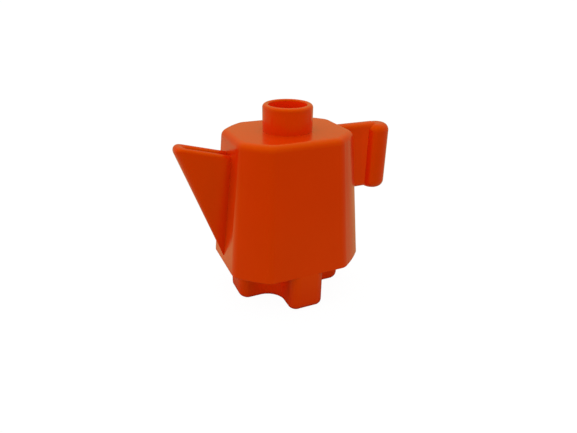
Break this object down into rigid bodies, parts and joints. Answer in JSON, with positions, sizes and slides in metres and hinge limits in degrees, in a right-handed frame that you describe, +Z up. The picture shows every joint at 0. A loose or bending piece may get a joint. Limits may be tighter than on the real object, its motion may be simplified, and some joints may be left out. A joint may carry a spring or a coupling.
{
  "type": "toy teapot",
  "caption": "Toy teapot for toddler building bricks: octagonal tapered pot, hollow top stud, channelled spout, round grip and a cross-shaped socket foot.",
  "frame": {"origin": "centre of the foot's underside, on the common axis of the foot's socket and the top stud", "axes": "+X from the spout to the handle, +Z up along the socket and stud axis, +Y across the pot"},
  "size_m": [0.0437, 0.0226, 0.0384],
  "materials": {
    "orange_plastic": "glossy moulded ABS, coloured through, softly worn edges"
  },
  "bodies": {
    "root": {"pot_shell": "orange_plastic", "top_stud": "orange_plastic", "spout": "orange_plastic", "handle": "orange_plastic", "foot_base": "orange_plastic"}
  },
  "joints": []
}
